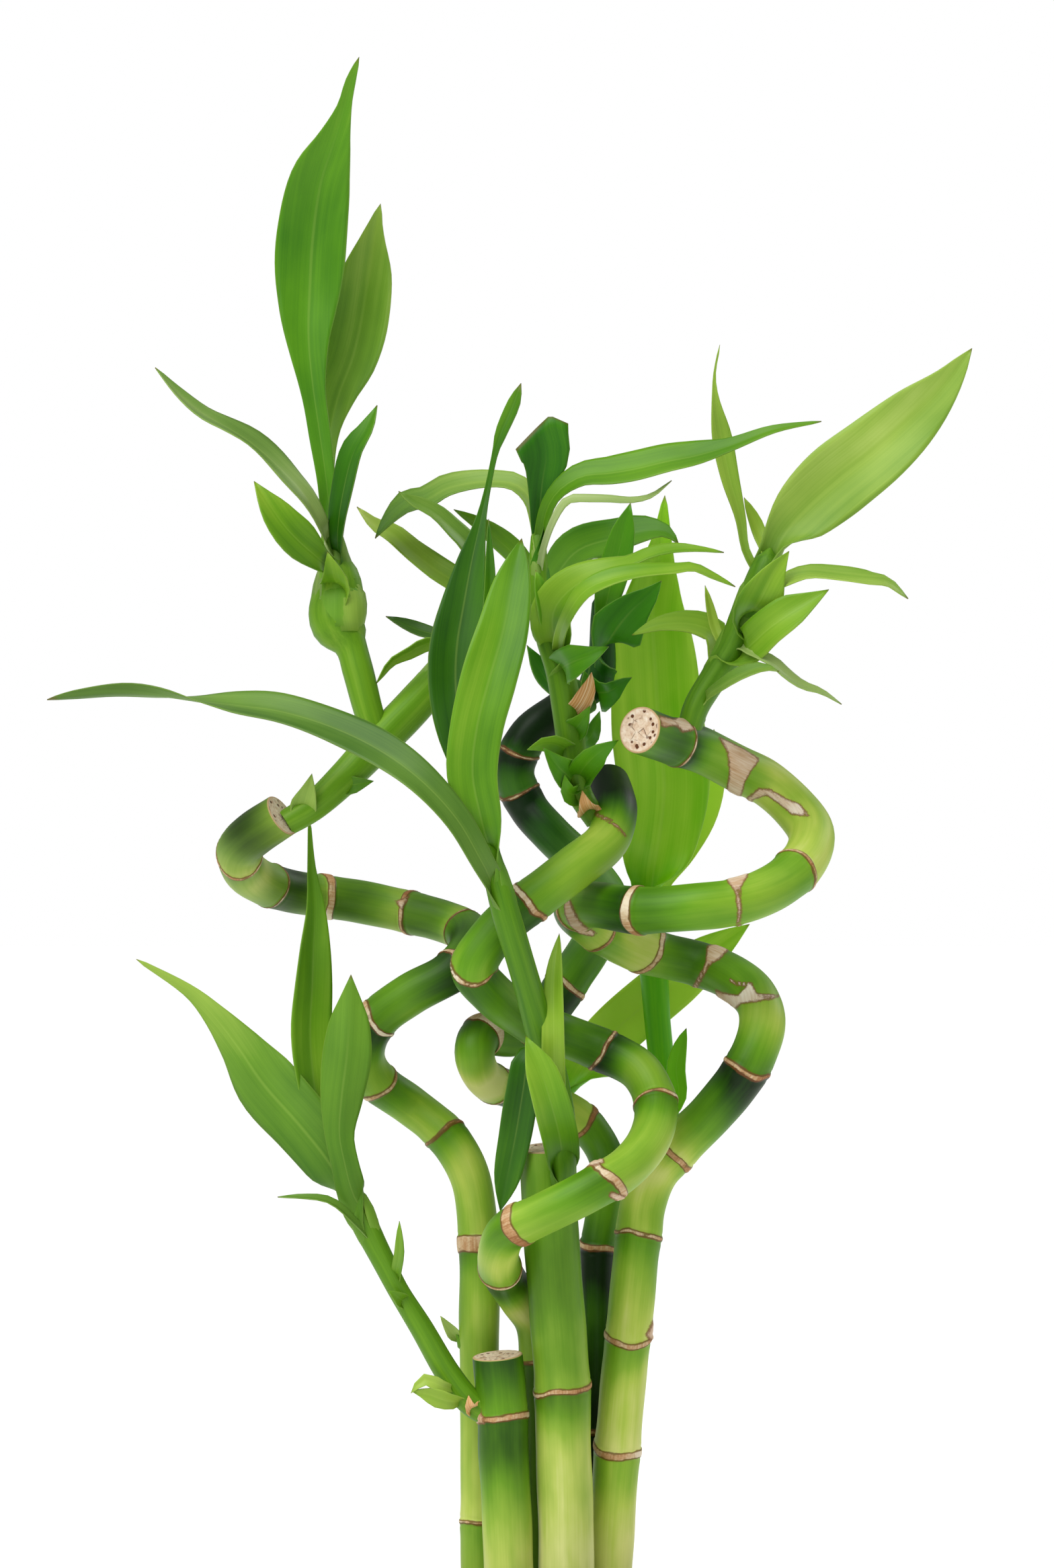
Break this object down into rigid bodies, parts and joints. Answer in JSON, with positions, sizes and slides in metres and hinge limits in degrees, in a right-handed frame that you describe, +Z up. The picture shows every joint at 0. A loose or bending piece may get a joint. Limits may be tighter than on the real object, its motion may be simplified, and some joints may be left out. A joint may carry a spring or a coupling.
{
  "type": "lucky bamboo in a vase",
  "caption": "Lucky bamboo: cut canes, some trained into spirals, with leafy shoots, standing in pebbles in a plain tapered vase.",
  "frame": {"origin": "centre of the vase's flat foot, on the surface that it stands on", "axes": "+Z up along the vase and the canes, -Y towards the side shown in the picture, +X to the right of that view"},
  "size_m": [0.2461, 0.1124, 0.5632],
  "materials": {
    "glaze": "gloss",
    "pebbles": "matte",
    "cane": "satin",
    "leaf": "satin",
    "bright_leaf": "satin",
    "dark_leaf": "satin"
  },
  "bodies": {
    "root": {"vase": "glaze", "pebble_bed": "pebbles", "cane_stub": "cane", "cane_left": "cane", "cane_middle": "cane", "cane_right": "cane", "cane_centre": "cane", "cane_back": "cane", "shoot_left": "leaf", "shoot_front": "leaf", "shoot_middle": "leaf", "shoot_right": "leaf", "shoot_low_left": "leaf", "shoot_back_right": "bright_leaf", "shoot_low_back": "bright_leaf", "shoot_back": "dark_leaf", "shoot_bud": "leaf"}
  },
  "joints": []
}
